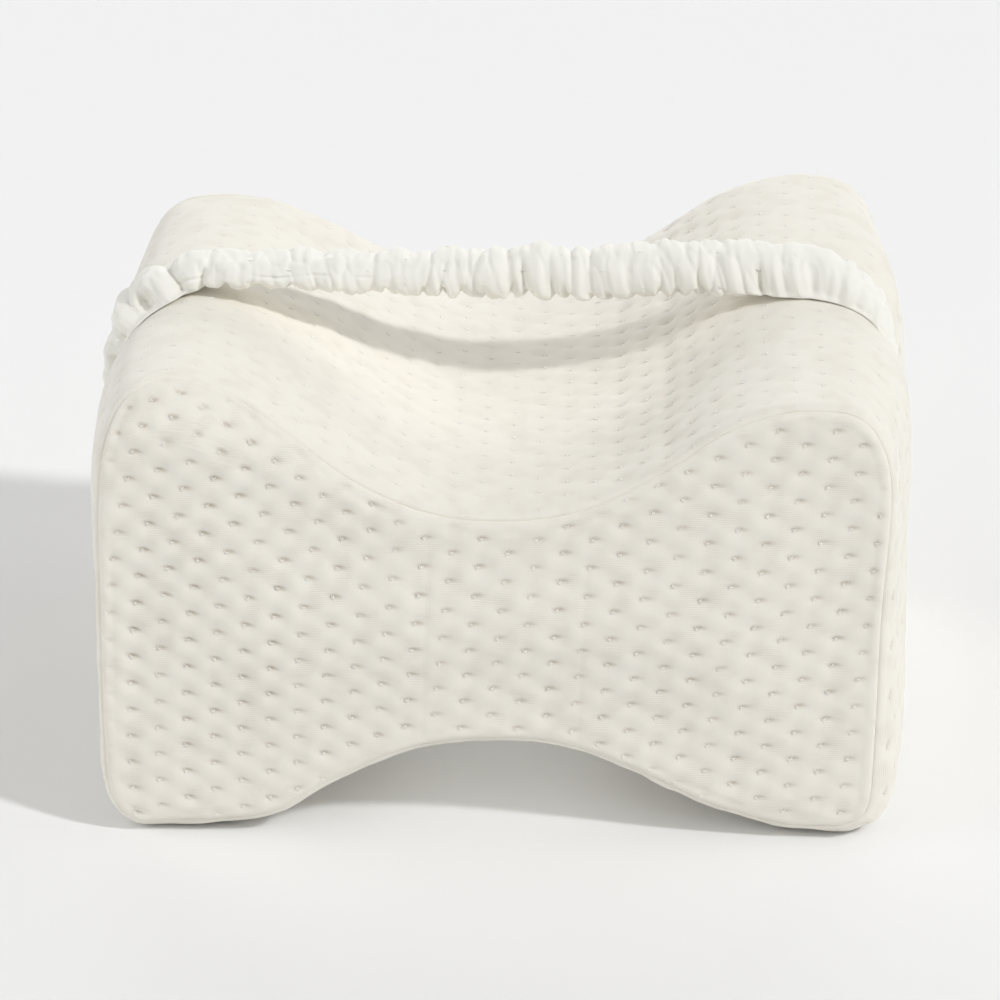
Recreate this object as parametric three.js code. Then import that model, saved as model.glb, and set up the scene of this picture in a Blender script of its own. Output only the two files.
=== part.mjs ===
// Knee pillow: a firm contoured pad with an hourglass face, and a gathered leg strap across its top.
// Millimetres, +Z up. X runs along the pillow's length, and the front face looks along -Y.
// The origin is on the floor under the middle of the pillow.

import * as THREE from "three";

// Driving dimensions of the pad
const FACE_Y = 97.5; // from the middle to the flat of the front or the back face
const FACE_CROWN = 4; // how far a face stands proud of its rim
const CROWN_REACH = 32; // from the rim to the full crown
const FACE_MIDDLE = new THREE.Vector2(0, 72); // the middle of a face
const SPINE_HALF = 76; // half the level line through that middle which the rings of a face close in on
const CENTRE_X = 2.4; // the outline's middle, which is moved to the origin
const SEAM_DEPTH = 0.9; // how far a seam is drawn in under the cloth beside it
const SEAM_BESIDE = 2.6; // from a seam to the full cloth on either side of it
const LEAST_STEP = 2.4; // the least distance between two rings of points beside a seam
const PULL_Y = -3; // the depth at which the strap draws the pad in
const PULL_REACH = 24; // how far before and behind that the pad gives way

// The pad's outline seen from the front, anticlockwise from the top of the arch.
// front, back: its height at the front and at the back face. soft, softBack: radius of its edge there.
// roll: the share of the soft edge that the band covers before it meets the face, from 0 to 1.
// swell: how far the band stands out half-way between the faces. pull: how far the strap draws it in.
const OUTLINE = [
  { x: 6, front: 32.5, back: 33, soft: 8, softBack: 8, roll: 0.6, swell: 0, pull: 0 },
  { x: 26, front: 29.6, back: 30, soft: 8, softBack: 8, roll: 0.6, swell: 0, pull: 0 },
  { x: 46, front: 20.6, back: 21, soft: 9, softBack: 8, roll: 0.6, swell: 0.4, pull: 0 },
  { x: 65, front: 10.4, back: 8.6, soft: 10, softBack: 8, roll: 0.6, swell: 0.4, pull: 0 },
  { x: 82, front: 3.6, back: 1.4, soft: 12, softBack: 8, roll: 0.6, swell: 0, pull: 0 },
  { x: 98, front: -0.4, back: -0.6, soft: 13, softBack: 9, roll: 0.6, swell: 0, pull: 0 },
  { x: 114, front: 1.4, back: 0.8, soft: 11, softBack: 9, roll: 0.7, swell: 4, pull: 0 },
  { x: 123.8, front: 11, back: 11, soft: 10.5, softBack: 9, roll: 0.75, swell: 8, pull: 0 },
  { x: 125.6, front: 36, back: 36, soft: 9.5, softBack: 8, roll: 0.78, swell: 7, pull: 0 },
  { x: 124.5, front: 80, back: 80, soft: 7, softBack: 8, roll: 0.75, swell: 8, pull: 1 },
  { x: 123.5, front: 122, back: 124, soft: 5, softBack: 8, roll: 0.5, swell: 8.5, pull: 5 },
  { x: 119.5, front: 139.5, back: 142, soft: 5, softBack: 9, roll: 0.5, swell: 6, pull: 4.5 },
  { x: 111.5, front: 148.3, back: 150.6, soft: 5, softBack: 9, roll: 0.5, swell: 2, pull: 2 },
  { x: 99, front: 150.3, back: 152.6, soft: 5, softBack: 9, roll: 0.5, swell: 0.6, pull: 0 },
  { x: 85, front: 148.6, back: 150.8, soft: 5, softBack: 9, roll: 0.5, swell: 0, pull: 0 },
  { x: 69, front: 141.8, back: 144.6, soft: 6, softBack: 9, roll: 0.5, swell: -0.5, pull: 0 },
  { x: 50, front: 128.6, back: 131.6, soft: 7, softBack: 9, roll: 0.5, swell: -0.5, pull: 0 },
  { x: 29, front: 118.9, back: 120, soft: 9, softBack: 10, roll: 0.6, swell: 0, pull: 0 },
  { x: 6, front: 114.8, back: 116, soft: 10, softBack: 10, roll: 0.6, swell: 0, pull: 0 },
  { x: -17, front: 116, back: 117.4, soft: 10, softBack: 11, roll: 0.55, swell: 0, pull: 0 },
  { x: -39, front: 124.8, back: 125, soft: 11, softBack: 13, roll: 0.5, swell: 0, pull: 0 },
  { x: -60, front: 136.8, back: 136.6, soft: 14, softBack: 17, roll: 0.3, swell: 0.5, pull: 0 },
  { x: -79, front: 146, back: 144.2, soft: 17, softBack: 17, roll: 0.1, swell: 1, pull: 0 },
  { x: -97, front: 151.6, back: 145.8, soft: 18, softBack: 17, roll: 0, swell: 1, pull: 0 },
  { x: -111, front: 148, back: 141, soft: 15, softBack: 16, roll: 0.1, swell: 1.6, pull: 2 },
  { x: -119.5, front: 136.4, back: 127, soft: 10, softBack: 14, roll: 0.35, swell: 3.4, pull: 3.6 },
  { x: -122.6, front: 115, back: 110, soft: 6, softBack: 11, roll: 0.5, swell: 6, pull: 4.5 },
  { x: -122.8, front: 80, back: 80, soft: 5, softBack: 9, roll: 0.5, swell: 5, pull: 1 },
  { x: -123, front: 38, back: 38, soft: 5, softBack: 8, roll: 0.5, swell: 4, pull: 0 },
  { x: -121.5, front: 14, back: 14, soft: 6, softBack: 8, roll: 0.5, swell: 3, pull: 0 },
  { x: -113.5, front: 1.4, back: 1.4, soft: 10, softBack: 8, roll: 0.5, swell: 1, pull: 0 },
  { x: -99, front: -0.6, back: -0.6, soft: 12, softBack: 8, roll: 0.6, swell: 0, pull: 0 },
  { x: -82, front: 1.4, back: 0.4, soft: 11, softBack: 8, roll: 0.6, swell: 0, pull: 0 },
  { x: -66, front: 6.2, back: 5.6, soft: 8, softBack: 8, roll: 0.6, swell: 0.4, pull: 0 },
  { x: -48, front: 17.8, back: 17.8, soft: 8, softBack: 8, roll: 0.6, swell: 0.4, pull: 0 },
  { x: -22, front: 29.6, back: 29.8, soft: 8, softBack: 8, roll: 0.6, swell: 0, pull: 0 },
];

// Fineness of the pad
const PAD_AROUND = 104; // points around the outline
const BAND_Y = [62, 42, 27, 16, 6, -3, -12, -22, -33, -48, -66]; // depths of the band's rings
const FACE_RINGS = [0.34, 0.66, 0.9]; // rings of a face, as shares of the way from its middle to its rim

// Where the strap lies on the outline, in rows: its ends, and where it leaves and meets the humps
const STRAP_LEFT = { end: 26.3, lift: 23 };
const STRAP_RIGHT = { end: 9.55, lift: 13 };
const STRAP_SAG = 5; // how far it sags over the channel
const STRAP_CLEAR = 0.45; // between the strap and the pad where it lies on it
const GATHER_PITCH = 8.6; // from one gather to the next
const GATHER_DEPTH = 0.17; // how far a gather draws in, as a share of the strap's thickness
const GATHER_WANDER = 0.7; // how unevenly the gathers follow each other, in radians
const GATHER_WAVES = 3.7; // how often that changes over the strap's length
const SCALLOP = 1.1; // how far the strap's edges wave
const STRAP_SQUARE = 0.7; // how full the corners of its section are, where 1 is an oval
const LOWER_SIDE = 0.4; // the share of its thickness that stays flat at the gathers

// The strap from its left end to its right: along is a share of its length, middle its place in Y,
// and lift how far its slack holds it off the pad.
const STRAP = [
  { along: 0, middle: -5, width: 29, thick: 2.2, lift: 0 },
  { along: 0.07, middle: -5.5, width: 29, thick: 5, lift: 0 },
  { along: 0.12, middle: -6, width: 28, thick: 9, lift: 0 },
  { along: 0.17, middle: -6.5, width: 25, thick: 10, lift: 0.8 },
  { along: 0.22, middle: -7, width: 23, thick: 10, lift: 3 },
  { along: 0.3, middle: -6.6, width: 23, thick: 10.6, lift: 4.2 },
  { along: 0.36, middle: -5.8, width: 23, thick: 12.2, lift: 3.5 },
  { along: 0.42, middle: -4.8, width: 22.5, thick: 14, lift: 2.6 },
  { along: 0.5, middle: -4, width: 22, thick: 16, lift: 1.9 },
  { along: 0.58, middle: -4, width: 22, thick: 16.2, lift: 1.4 },
  { along: 0.68, middle: -5, width: 22, thick: 16.2, lift: 1.6 },
  { along: 0.75, middle: -5, width: 22, thick: 15.6, lift: 1 },
  { along: 0.8, middle: -5, width: 23.5, thick: 13.5, lift: 0.4 },
  { along: 0.84, middle: -4.5, width: 26, thick: 10, lift: 0 },
  { along: 0.89, middle: -4, width: 28, thick: 6, lift: 0 },
  { along: 0.94, middle: -3.5, width: 29, thick: 3, lift: 0 },
  { along: 1, middle: -3, width: 28, thick: 1.8, lift: 0 },
];

// Fineness of the strap
const STRAP_STEPS = 150; // along it
const STRAP_AROUND = 12; // around its section
const ROUTE_STEPS = 400; // steps in which the strap's length is measured

// A value between b and c at share t of the way, for four values a, b, c, d in a row, with no kinks.
function smoothBetween(a, b, c, d, t) {
  const rise = (c - a) / 2;
  const fall = (d - b) / 2;
  const t2 = t * t;
  const t3 = t2 * t;
  return (2 * t3 - 3 * t2 + 1) * b + (t3 - 2 * t2 + t) * rise + (3 * t2 - 2 * t3) * c + (t3 - t2) * fall;
}

// A column of the outline at place u, counted in rows and closed on itself.
function outlineValue(column, u) {
  const count = OUTLINE.length;
  const row = Math.floor(u);
  const at = (i) => OUTLINE[(row + i + count) % count][column];
  return smoothBetween(at(-1), at(0), at(1), at(2), u - row);
}

// The outline at place u on the plane y, and the direction that points out of the pad there.
function outlineAt(u, y) {
  const share = (y + FACE_Y) / (2 * FACE_Y);
  const count = OUTLINE.length;
  const place = (v) => {
    const w = (v + count) % count;
    const height = THREE.MathUtils.lerp(outlineValue("front", w), outlineValue("back", w), share);
    return new THREE.Vector2(outlineValue("x", w) - CENTRE_X, Math.max(0, height));
  };
  const ahead = 0.02;
  const along = place(u + ahead).sub(place(u - ahead)).normalize();
  return { place: place(u), out: new THREE.Vector2(along.y, -along.x) };
}

// How far the band stands out of the outline at place u and depth y.
function standsOut(u, y) {
  const swell = outlineValue("swell", u) * (1 - (y / FACE_Y) ** 2);
  const pull = outlineValue("pull", u) * Math.exp(-(((y - PULL_Y) / PULL_REACH) ** 2));
  return swell - pull;
}

// A point of the pad's skin: its place u on the outline, its depth y, and how far it lies inside.
function skinPoint(u, y, inside) {
  const { place, out } = outlineAt(u, y);
  place.addScaledVector(out, standsOut(u, y) - inside);
  return new THREE.Vector3(place.x, y, Math.max(0, place.y));
}

// A point beside the seam of the front (side -1) or the back face (side 1).
// distance is measured over the soft edge, and is positive towards the face.
function edgePoint(u, side, distance, drawnIn) {
  const soft = outlineValue(side < 0 ? "soft" : "softBack", u);
  const turn = outlineValue("roll", u) * Math.PI / 2 + distance / soft;
  const onArc = THREE.MathUtils.clamp(turn, 0, Math.PI / 2);
  const beyond = (turn - onArc) * soft;
  const radius = soft - drawnIn;
  const inside = soft - radius * Math.cos(onArc) + Math.max(0, beyond);
  const depth = FACE_Y - soft + radius * Math.sin(onArc) + Math.min(0, beyond);
  return skinPoint(u, side * depth, inside);
}

// The distances from a seam at which the rings beside it lie, from the face's rim to the band.
function edgeDistances(u, side) {
  const soft = outlineValue(side < 0 ? "soft" : "softBack", u);
  const covered = outlineValue("roll", u) * Math.PI / 2;
  const rim = Math.max(soft * (Math.PI / 2 - covered), SEAM_BESIDE + LEAST_STEP);
  const band = -Math.max(soft * covered, SEAM_BESIDE + LEAST_STEP);
  return [rim, (rim + SEAM_BESIDE) / 2, SEAM_BESIDE, 0, -SEAM_BESIDE, (band - SEAM_BESIDE) / 2, band];
}

// One ring of points around the pad.
function ring(pointAt) {
  return Array.from({ length: PAD_AROUND }, (_, i) => pointAt((i / PAD_AROUND) * OUTLINE.length));
}

// The rings over one soft edge, from the face's rim to the band, with the seam drawn in.
function edgeRings(side) {
  const count = edgeDistances(0, side).length;
  return Array.from({ length: count }, (_, k) =>
    ring((u) => {
      const distance = edgeDistances(u, side)[k];
      return edgePoint(u, side, distance, distance === 0 ? SEAM_DEPTH : 0);
    }),
  );
}

// The shortest way from a point of a face to its rim.
function rimDistance(x, z, rim) {
  const point = new THREE.Vector3(x, rim[0].y, z);
  const nearest = new THREE.Vector3();
  const ways = rim.map((a, i) => {
    const line = new THREE.Line3(a, rim[(i + 1) % rim.length]);
    line.closestPointToPoint(point, true, nearest);
    return Math.hypot(nearest.x - x, nearest.z - z);
  });
  return Math.min(...ways);
}

// A point of a face's crown.
function facePoint(x, z, side, rim) {
  const inward = Math.min(1, rimDistance(x, z, rim) / CROWN_REACH);
  return new THREE.Vector3(x, side * (FACE_Y + FACE_CROWN * (1 - (1 - inward) ** 2)), z);
}

// The rings of a face, from the level line through its middle out to its rim.
function faceRings(side, rim) {
  return FACE_RINGS.map((share) =>
    rim.map((p) => {
      const spineX = THREE.MathUtils.clamp(p.x, FACE_MIDDLE.x - SPINE_HALF, FACE_MIDDLE.x + SPINE_HALF);
      const x = THREE.MathUtils.lerp(spineX, p.x, share);
      const z = THREE.MathUtils.lerp(FACE_MIDDLE.y, p.z, share);
      return facePoint(x, z, side, rim);
    }),
  );
}

// Joins rings of points, each with the same count, into one closed body with a point at either end.
// The points of a ring turn by the right-hand rule about the way from the first ring to the last.
function closedBody(first, rings, last) {
  const count = rings[0].length;
  const points = [first, ...rings.flat(), last];
  const faces = [];
  const id = (r, i) => 1 + r * count + ((i + count) % count);
  for (let i = 0; i < count; i += 1) {
    faces.push(0, id(0, i + 1), id(0, i));
    faces.push(points.length - 1, id(rings.length - 1, i), id(rings.length - 1, i + 1));
    for (let r = 0; r < rings.length - 1; r += 1) {
      faces.push(id(r, i), id(r, i + 1), id(r + 1, i));
      faces.push(id(r, i + 1), id(r + 1, i + 1), id(r + 1, i));
    }
  }
  const geometry = new THREE.BufferGeometry().setFromPoints(points);
  geometry.setIndex(faces);
  geometry.computeVertexNormals();
  return geometry;
}

// The pad, from back to front: face, soft edge, band, soft edge, face.
function padGeometry() {
  const back = edgeRings(1);
  const front = edgeRings(-1).reverse();
  const backRim = back[0];
  const frontRim = front[front.length - 1];
  const rings = [
    ...faceRings(1, backRim),
    ...back,
    ...BAND_Y.map((y) => ring((u) => skinPoint(u, y, 0))),
    ...front,
    ...faceRings(-1, frontRim).reverse(),
  ];
  return closedBody(
    facePoint(FACE_MIDDLE.x, FACE_MIDDLE.y, 1, backRim),
    rings,
    facePoint(FACE_MIDDLE.x, FACE_MIDDLE.y, -1, frontRim),
  );
}

// A column of the strap's table at a share of its length.
function strapValue(column, along) {
  const last = STRAP.length - 1;
  const row = Math.min(last - 1, STRAP.findLastIndex((r) => r.along <= along));
  const at = (i) => STRAP[THREE.MathUtils.clamp(row + i, 0, last)][column];
  const share = (along - STRAP[row].along) / (STRAP[row + 1].along - STRAP[row].along);
  return smoothBetween(at(-1), at(0), at(1), at(2), share);
}

// The pad's skin under the strap at place u and depth y, raised by the strap's clearance and slack.
function carried(u, y, lift) {
  const { out } = outlineAt(u, y);
  const raised = STRAP_CLEAR + lift;
  return skinPoint(u, y, 0).add(new THREE.Vector3(out.x * raised, 0, out.y * raised));
}

// The strap's underside at depth y: on the left hump, free over the channel, then on the right hump.
// share runs from 0 to 1, a third of it for each of the three, and lift is the slack there.
function undersidePoint(share, y, lift) {
  const part = Math.min(2, Math.floor(share * 3));
  const t = share * 3 - part;
  if (part === 0) return carried(THREE.MathUtils.lerp(STRAP_LEFT.end, STRAP_LEFT.lift, t), y, lift);
  if (part === 2) return carried(THREE.MathUtils.lerp(STRAP_RIGHT.lift, STRAP_RIGHT.end, t), y, lift);
  const free = carried(STRAP_LEFT.lift, y, lift).lerp(carried(STRAP_RIGHT.lift, y, lift), t);
  free.z -= STRAP_SAG * 4 * t * (1 - t);
  return free;
}

// The strap's way, measured: for each share of its length, the share that undersidePoint takes.
function strapMeasure() {
  const lengths = [0];
  for (let i = 1; i <= ROUTE_STEPS; i += 1) {
    const from = undersidePoint((i - 1) / ROUTE_STEPS, PULL_Y, 0);
    const to = undersidePoint(i / ROUTE_STEPS, PULL_Y, 0);
    lengths.push(lengths[i - 1] + from.distanceTo(to));
  }
  const total = lengths[ROUTE_STEPS];
  const shareAt = (along) => {
    const wanted = along * total;
    const i = Math.min(ROUTE_STEPS - 1, lengths.findLastIndex((v) => v <= wanted));
    return (i + (wanted - lengths[i]) / (lengths[i + 1] - lengths[i])) / ROUTE_STEPS;
  };
  return { total, shareAt };
}

// The direction out of the pad under the strap, at a share of the strap's length.
function strapUp(along, shareAt) {
  const near = 1 / STRAP_STEPS;
  const middle = strapValue("middle", along);
  const lift = strapValue("lift", along);
  const before = undersidePoint(shareAt(Math.max(0, along - near)), middle, lift);
  const after = undersidePoint(shareAt(Math.min(1, along + near)), middle, lift);
  const ahead = after.sub(before).normalize();
  return new THREE.Vector3(-ahead.z, 0, ahead.x);
}

// One section of the strap: a plump loop, drawn in at the gathers, with waved edges.
function strapSection(along, { total, shareAt }) {
  const wander = GATHER_WANDER * Math.sin(GATHER_WAVES * 2 * Math.PI * along);
  const phase = (along * total * Math.PI) / GATHER_PITCH + wander;
  const drawnIn = 1 - GATHER_DEPTH * Math.cos(phase) ** 2;
  const half = strapValue("width", along) / 2 + SCALLOP * Math.sin(2 * phase + 1);
  const thick = strapValue("thick", along);
  const up = strapUp(along, shareAt);
  return Array.from({ length: STRAP_AROUND }, (_, k) => {
    const angle = (k / STRAP_AROUND) * 2 * Math.PI;
    const across = Math.sign(Math.cos(angle)) * Math.abs(Math.cos(angle)) ** STRAP_SQUARE;
    const height = (1 + Math.sin(angle)) / 2;
    const share = height > LOWER_SIDE ? drawnIn : 1;
    const y = strapValue("middle", along) + half * across;
    const under = undersidePoint(shareAt(along), y, strapValue("lift", along));
    return under.addScaledVector(up, height * thick * share);
  });
}

// The middle of a ring of points.
function centreOf(section) {
  const sum = section.reduce((total, p) => total.add(p), new THREE.Vector3());
  return sum.divideScalar(section.length);
}

// The strap: a gathered tube from its left end to its right.
function strapGeometry() {
  const way = strapMeasure();
  const steps = Array.from({ length: STRAP_STEPS + 1 }, (_, s) => s / STRAP_STEPS);
  const rings = steps.map((along) => strapSection(along, way));
  return closedBody(centreOf(rings[0]), rings, centreOf(rings[STRAP_STEPS]));
}

// Finish of the cloth
const knit = new THREE.MeshStandardMaterial({ color: 0xf3eee2, roughness: 0.9, metalness: 0 });
const gathered = new THREE.MeshStandardMaterial({ color: 0xf6f4ec, roughness: 0.9, metalness: 0 });

const pad = new THREE.Mesh(padGeometry(), knit);
pad.name = "pillow_pad";

const strap = new THREE.Mesh(strapGeometry(), gathered);
strap.name = "leg_strap";

const kneePillow = new THREE.Group();
kneePillow.add(pad, strap);

export default kneePillow;
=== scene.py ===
"""A contoured knee pillow in an off-white quilted knit cover, with a gathered leg strap across its top.

The cover is sewn from a front panel, a back panel and one wrap band. Millimetres in the tables and the
shape functions, metres in Blender. +X runs along the pillow, -Y out of its front face, +Z up.
"""

import math

import bpy
import numpy as np
from bpy.props import FloatProperty, FloatVectorProperty, PointerProperty, StringProperty
from mathutils import Matrix, Vector
from mathutils.geometry import delaunay_2d_cdt
from mathutils.kdtree import KDTree


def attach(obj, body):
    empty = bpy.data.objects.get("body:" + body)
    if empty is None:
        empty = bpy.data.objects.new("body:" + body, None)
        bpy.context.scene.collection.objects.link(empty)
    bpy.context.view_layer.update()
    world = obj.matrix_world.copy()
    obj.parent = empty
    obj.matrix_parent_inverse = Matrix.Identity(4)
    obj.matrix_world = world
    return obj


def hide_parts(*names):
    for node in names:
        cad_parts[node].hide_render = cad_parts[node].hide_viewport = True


bl_info = {
    "name": "Knee Pillow",
    "version": (1, 0, 0),
    "blender": (4, 5, 0),
    "location": "View3D > Sidebar > Knee Pillow",
    "description": "Builds a quilted knee pillow with a gathered leg strap",
    "category": "Object",
}

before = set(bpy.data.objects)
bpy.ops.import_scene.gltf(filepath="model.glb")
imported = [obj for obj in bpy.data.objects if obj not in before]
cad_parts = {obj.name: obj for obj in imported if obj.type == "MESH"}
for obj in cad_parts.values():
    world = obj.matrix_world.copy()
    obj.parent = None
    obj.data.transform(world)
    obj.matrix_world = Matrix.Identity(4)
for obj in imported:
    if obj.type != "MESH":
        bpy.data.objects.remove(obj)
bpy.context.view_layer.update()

MM = 0.001

# The pad's outline seen from the front, anticlockwise from the top of the arch.
# front, back: height at either face. soft, soft_back: radius of the edge there. roll: the share of that
# edge which the band covers. swell: how far the band stands out. pull: how far the strap draws it in.
OUTLINE_COLUMNS = ("x", "front", "back", "soft", "soft_back", "roll", "swell", "pull")
OUTLINE_ROWS = (
    (6, 32.5, 33, 8, 8, 0.6, 0, 0),
    (26, 29.6, 30, 8, 8, 0.6, 0, 0),
    (46, 20.6, 21, 9, 8, 0.6, 0.4, 0),
    (65, 10.4, 8.6, 10, 8, 0.6, 0.4, 0),
    (82, 3.6, 1.4, 12, 8, 0.6, 0, 0),
    (98, -0.4, -0.6, 13, 9, 0.6, 0, 0),
    (114, 1.4, 0.8, 11, 9, 0.7, 4, 0),
    (123.8, 11, 11, 10.5, 9, 0.75, 8, 0),
    (125.6, 36, 36, 9.5, 8, 0.78, 7, 0),
    (124.5, 80, 80, 7, 8, 0.75, 8, 1),
    (123.5, 122, 124, 5, 8, 0.5, 8.5, 5),
    (119.5, 139.5, 142, 5, 9, 0.5, 6, 4.5),
    (111.5, 148.3, 150.6, 5, 9, 0.5, 2, 2),
    (99, 150.3, 152.6, 5, 9, 0.5, 0.6, 0),
    (85, 148.6, 150.8, 5, 9, 0.5, 0, 0),
    (69, 141.8, 144.6, 6, 9, 0.5, -0.5, 0),
    (50, 128.6, 131.6, 7, 9, 0.5, -0.5, 0),
    (29, 118.9, 120, 9, 10, 0.6, 0, 0),
    (6, 114.8, 116, 10, 10, 0.6, 0, 0),
    (-17, 116, 117.4, 10, 11, 0.55, 0, 0),
    (-39, 124.8, 125, 11, 13, 0.5, 0, 0),
    (-60, 136.8, 136.6, 14, 17, 0.3, 0.5, 0),
    (-79, 146, 144.2, 17, 17, 0.1, 1, 0),
    (-97, 151.6, 145.8, 18, 17, 0, 1, 0),
    (-111, 148, 141, 15, 16, 0.1, 1.6, 2),
    (-119.5, 136.4, 127, 10, 14, 0.35, 3.4, 3.6),
    (-122.6, 115, 110, 6, 11, 0.5, 6, 4.5),
    (-122.8, 80, 80, 5, 9, 0.5, 5, 1),
    (-123, 38, 38, 5, 8, 0.5, 4, 0),
    (-121.5, 14, 14, 6, 8, 0.5, 3, 0),
    (-113.5, 1.4, 1.4, 10, 8, 0.5, 1, 0),
    (-99, -0.6, -0.6, 12, 8, 0.6, 0, 0),
    (-82, 1.4, 0.4, 11, 8, 0.6, 0, 0),
    (-66, 6.2, 5.6, 8, 8, 0.6, 0.4, 0),
    (-48, 17.8, 17.8, 8, 8, 0.6, 0.4, 0),
    (-22, 29.6, 29.8, 8, 8, 0.6, 0, 0),
)
OUTLINE = np.array(OUTLINE_ROWS)
ROWS = len(OUTLINE)
FACE_Y = 97.5  # from the middle to the flat of a face
CENTRE_X = 2.4  # the outline's middle, which is the origin
PULL_Y = -3  # the depth at which the strap draws the pad in
PULL_REACH = 20  # how far before and behind that the pad gives way
PULL_BITE = 1.6  # how much deeper the strap bites into the cover than into the foam behind it
RIM_LEAST = 5  # the least width of a panel's soft edge
CROWN_REACH = 38  # from a panel's rim to its full crown
FOOT_RIGHT = 6.6  # the outline's rows at which the wrap band's two lengths meet, under the feet
FOOT_LEFT = 29.6
INNER = 4  # how deep the cover's padding reaches
OUTLINE_REACH = 0.3  # rows on either side that give the outline's direction
REST_SOFT = 0.8  # how softly the base comes to rest on the floor
CROWN_HIGH = 4  # how far a face stands out at its full crown
CROWN_BLUR = 7  # how far the crown evens out the corners of the rim
BAND_WIDE = 200  # about the band's width, which sets how many points go across it
BAND_EDGE = (0.35, 9)  # its first step of points beside a seam, and how many lead up to a full step
# The valley along a seam: its depth and width, and the height, the place and the width of its ridge
SEAM = {"deep": 0.6, "wide": 0.5, "ridge": 0.06, "ridge_away": 2.2, "ridge_wide": 1.1}
SEAM_HOLDS = (0.8, 4)  # from this far off a seam the quilting begins, and it rises over this far

# The quilting's stars: their spacing, and how far each one's wide hollow and narrow slot reach
STAR_ACROSS = 8.7
STAR_UP = 9.35
PINCH_WIDE = (4.2, 3.5)
PINCH_SLOT = (1.8, 0.7)
HOLLOW_DEEP = 1.1
SLOT_DEEP = 0.4
STAR_CLEAR = 2  # no star lies nearer than this to a seam
# A star's three crossing stitches: where each comes up and where it goes down, from the star's middle
STAR_THREADS = ((-1.9, -0.5, 0.3, -0.3), (-1.3, 0.5, -0.3, -1.3), (-1.5, -1.2, -0.1, 0.3))
THREAD_THICK = 0.32
THREAD_STRAY = 0.16
THREAD_RISE = (0.1, 0.2)  # how far a thread stands out, in its thickness: always, and more in a deep pinch
# How a face's columns of stars lean, and how its rows climb on the left lobe
FACE_STARS = {"middle": 72, "lean": 0.1, "left": -25, "bend": 0.0012, "climb": 0.16, "phase": 0.25}
STRAY = 0.03  # how far the rows and the columns waver, in stars
SLACK_WAVES = ((0.35, 55), (0.12, 14))  # the depth and the length of the cover's slow waves
# Upright creases in the middle of a face: their X and their depth
CREASES = ((-23.5, 0.16), (25.2, 0.13))
CREASE_HALF = 1.3
CREASE_LEAN = 0.04

# The strap: where its ends lie on the outline and where it leaves the humps, in rows
STRAP_LEFT = {"end": 26.3, "lift": 23}
STRAP_RIGHT = {"end": 9.55, "lift": 13}
STRAP_RINGS = 720
STRAP_ROUND = 96  # points in a ring
STRAP_STARS = (12.5, 12)  # how far its own stars lie apart
STRAP_FACE = 30  # the cloth round half of the strap
STRAP_SAG = 5
STRAP_SEATED = 0.15  # how far its ends are pressed into the soft cover
STRAP_SQUARE = 0.7  # 1 is an oval section, and less is squarer
STRAP_FREE = 2.5  # with this much slack it hangs free of the pad
# The height of its widest place, as a share of its thickness, where it lies on the pad and where it hangs
STRAP_WIDEST = (0.03, 0.46)
STRAP_PLUMP = 9  # thinner than this it has less depth for gathers
PUFFS = ((0.7, 3, 4, 13, 41), (0.25, 1, 2, 4.5, 42))  # depth, lean, reach across, length and seed
# along: a share of the strap's length. middle: its place in Y. lift: how far its slack holds it off
# the pad.
STRAP_COLUMNS = ("along", "middle", "width", "thick", "lift")
STRAP_ROWS = (
    (0, -5, 29, 2.2, 0),
    (0.05, -5.3, 29, 5.5, 0),
    (0.09, -5.7, 29, 9.2, 0),
    (0.13, -6, 28, 11, 0),
    (0.17, -6.5, 25, 10.6, 0.8),
    (0.22, -7, 23, 10, 3),
    (0.3, -6.6, 23, 10.6, 4.2),
    (0.36, -5.8, 23, 12.2, 3.5),
    (0.42, -4.8, 22.5, 14, 2.6),
    (0.5, -4, 22, 16, 1.9),
    (0.58, -4, 22, 16.2, 1.4),
    (0.68, -5, 22, 16.2, 1.6),
    (0.75, -5, 22, 15.6, 1),
    (0.8, -5, 23.5, 13.5, 0.4),
    (0.84, -4.5, 26, 10, 0),
    (0.89, -4, 28, 6, 0),
    (0.94, -3.5, 29, 3, 0),
    (1, -3, 28, 1.8, 0),
)
STRAP = np.array(STRAP_ROWS)


def smooth_between(a, b, c, d, t):
    """The value at share t of the way from b to c, with no kinks, for four values in a row."""
    rise = (c - a) / 2
    fall = (d - b) / 2
    t2 = t * t
    t3 = t2 * t
    return (2 * t3 - 3 * t2 + 1) * b + (t3 - 2 * t2 + t) * rise + (3 * t2 - 2 * t3) * c + (t3 - t2) * fall


def ease(t):
    """Rises from 0 to 1 with a soft start and a soft end."""
    t = np.clip(t, 0, 1)
    return t * t * (3 - 2 * t)


def drift(across, up, length, seed):
    """A gentle unevenness between about -1 and 1, with waves about as long as length."""
    random = np.random.default_rng(seed)
    turns = random.uniform(0, math.pi, 9)
    sizes = random.uniform(0.6, 1.6, 9)
    phases = random.uniform(0, 7, 9)
    total = 0
    for turn, size, phase in zip(turns, sizes, phases):
        place = across * math.cos(turn) + up * math.sin(turn)
        total = total + np.sin(place * 2 * math.pi * size / length + phase)
    return total / 4


def outline_value(column, u):
    """A column of the outline at place u, counted in rows and closed on itself."""
    row = np.floor(u).astype(int)
    values = OUTLINE[:, OUTLINE_COLUMNS.index(column)]
    near = [values[(row + i) % ROWS] for i in (-1, 0, 1, 2)]
    return smooth_between(*near, u - row)


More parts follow.
